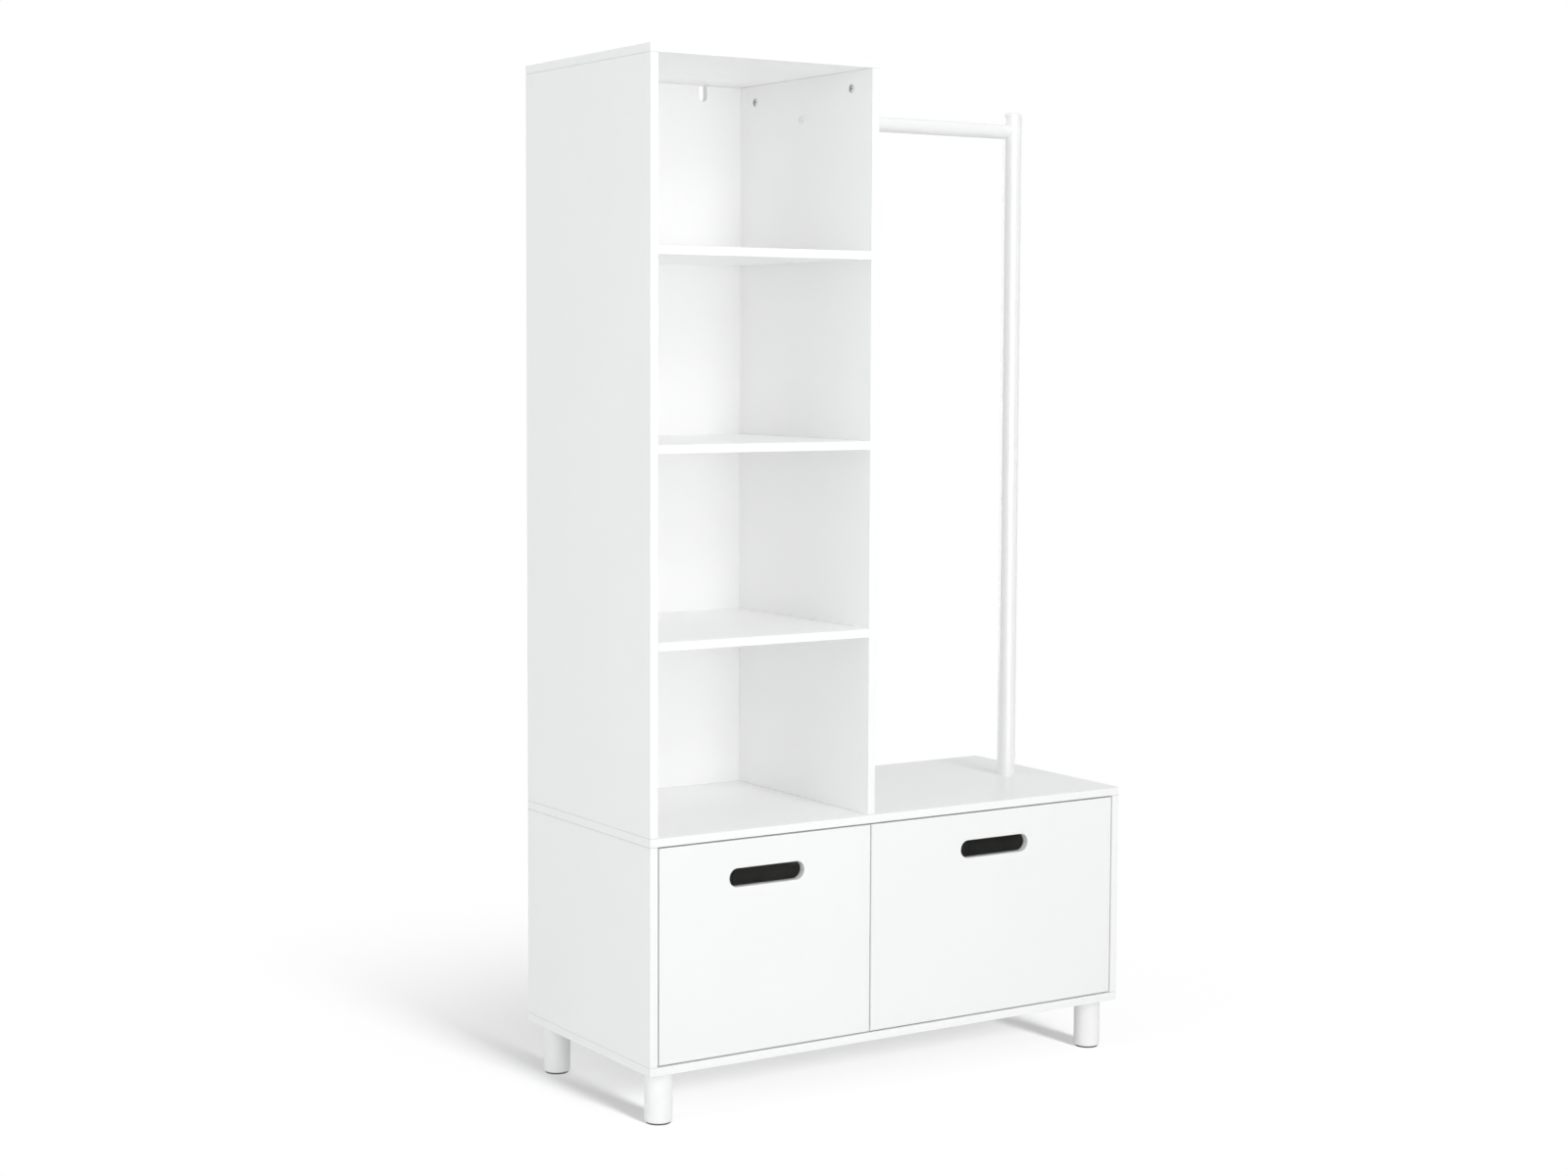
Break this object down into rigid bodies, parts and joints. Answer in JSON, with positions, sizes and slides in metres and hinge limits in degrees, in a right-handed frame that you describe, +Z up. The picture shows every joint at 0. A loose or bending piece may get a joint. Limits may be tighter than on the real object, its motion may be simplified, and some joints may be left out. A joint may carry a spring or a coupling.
{
  "type": "shelving unit with clothes rail",
  "caption": "White children's storage unit: drawer bench on round legs, open shelf tower on one side, tubular clothes rail with a post on the other.",
  "frame": {"origin": "on the floor under the middle of the unit's outline", "axes": "+Z up, +X to the right of a person facing the front, -Y out of the front"},
  "size_m": [1, 0.44, 1.79],
  "materials": {
    "white_board": "white satin lacquer",
    "drawer_board": "white melamine",
    "white_leg": "turned, white satin lacquer",
    "white_tube": "white satin powder coat",
    "white_nylon": "moulded",
    "zinc_steel": "bright zinc plate",
    "beech": "raw beech",
    "grey_felt": "pressed felt"
  },
  "bodies": {
    "cabinet": {"bench_bottom": "white_board", "bench_top": "white_board", "bench_left_side": "white_board", "bench_right_side": "white_board", "bench_divider": "white_board", "bench_back": "white_board", "tower_top": "white_board", "tower_back": "white_board", "tower_left_side": "white_board", "tower_right_side": "white_board", "shelf_lower": "white_board", "shelf_middle": "white_board", "shelf_upper": "white_board", "cam_locks": "zinc_steel", "cam_bolts": "zinc_steel", "dowels": "beech", "back_screws": "zinc_steel", "joining_plates": "zinc_steel", "plate_screws": "zinc_steel", "leg_front_left": "white_leg", "leg_front_right": "white_leg", "leg_rear_left": "white_leg", "leg_rear_right": "white_leg", "leg_glides": "grey_felt", "leg_bolts": "zinc_steel", "leg_nuts": "zinc_steel", "clothes_rail": "white_tube", "rail_post": "white_tube", "post_cap": "white_nylon", "rail_wall_insert": "white_nylon", "rail_joint_insert": "white_nylon", "post_foot_insert": "white_nylon", "rail_bolt": "zinc_steel", "joint_saddle": "white_nylon", "joint_bolt": "zinc_steel", "post_bolt": "zinc_steel", "left_slide_outer_members": "zinc_steel", "right_slide_outer_members": "zinc_steel"},
    "left_drawer": {"left_drawer_front": "white_board", "left_drawer_left_side": "drawer_board", "left_drawer_right_side": "drawer_board", "left_drawer_back": "drawer_board", "left_drawer_bottom": "drawer_board", "left_drawer_dowels": "beech", "left_slide_inner_members": "zinc_steel"},
    "left_slide_middles": {"left_slide_middle_members": "zinc_steel"},
    "left_outer_cages": {"left_slide_outer_cages": "zinc_steel"},
    "left_inner_cages": {"left_slide_inner_cages": "zinc_steel"},
    "right_drawer": {"right_drawer_front": "white_board", "right_drawer_left_side": "drawer_board", "right_drawer_right_side": "drawer_board", "right_drawer_back": "drawer_board", "right_drawer_bottom": "drawer_board", "right_drawer_dowels": "beech", "right_slide_inner_members": "zinc_steel"},
    "right_slide_middles": {"right_slide_middle_members": "zinc_steel"},
    "right_outer_cages": {"right_slide_outer_cages": "zinc_steel"},
    "right_inner_cages": {"right_slide_inner_cages": "zinc_steel"}
  },
  "joints": [
    {"name": "left_drawer_slide", "type": "slide", "parent": "cabinet", "child": "left_drawer", "axis": [0, -1, 0], "range_m": [0, 0.37]},
    {"name": "left_middle_slide", "type": "slide", "parent": "cabinet", "child": "left_slide_middles", "axis": [0, -1, 0], "range_m": [0, 0.185]},
    {"name": "left_outer_cage_slide", "type": "slide", "parent": "cabinet", "child": "left_outer_cages", "axis": [0, -1, 0], "range_m": [0, 0.0925]},
    {"name": "left_inner_cage_slide", "type": "slide", "parent": "cabinet", "child": "left_inner_cages", "axis": [0, -1, 0], "range_m": [0, 0.2775]},
    {"name": "right_drawer_slide", "type": "slide", "parent": "cabinet", "child": "right_drawer", "axis": [0, -1, 0], "range_m": [0, 0.37]},
    {"name": "right_middle_slide", "type": "slide", "parent": "cabinet", "child": "right_slide_middles", "axis": [0, -1, 0], "range_m": [0, 0.185]},
    {"name": "right_outer_cage_slide", "type": "slide", "parent": "cabinet", "child": "right_outer_cages", "axis": [0, -1, 0], "range_m": [0, 0.0925]},
    {"name": "right_inner_cage_slide", "type": "slide", "parent": "cabinet", "child": "right_inner_cages", "axis": [0, -1, 0], "range_m": [0, 0.2775]}
  ],
  "couplings": [
    {"joint": "left_middle_slide", "follows": "left_drawer_slide", "ratio": 0.5},
    {"joint": "left_outer_cage_slide", "follows": "left_drawer_slide", "ratio": 0.25},
    {"joint": "left_inner_cage_slide", "follows": "left_drawer_slide", "ratio": 0.75},
    {"joint": "right_middle_slide", "follows": "right_drawer_slide", "ratio": 0.5},
    {"joint": "right_outer_cage_slide", "follows": "right_drawer_slide", "ratio": 0.25},
    {"joint": "right_inner_cage_slide", "follows": "right_drawer_slide", "ratio": 0.75}
  ]
}
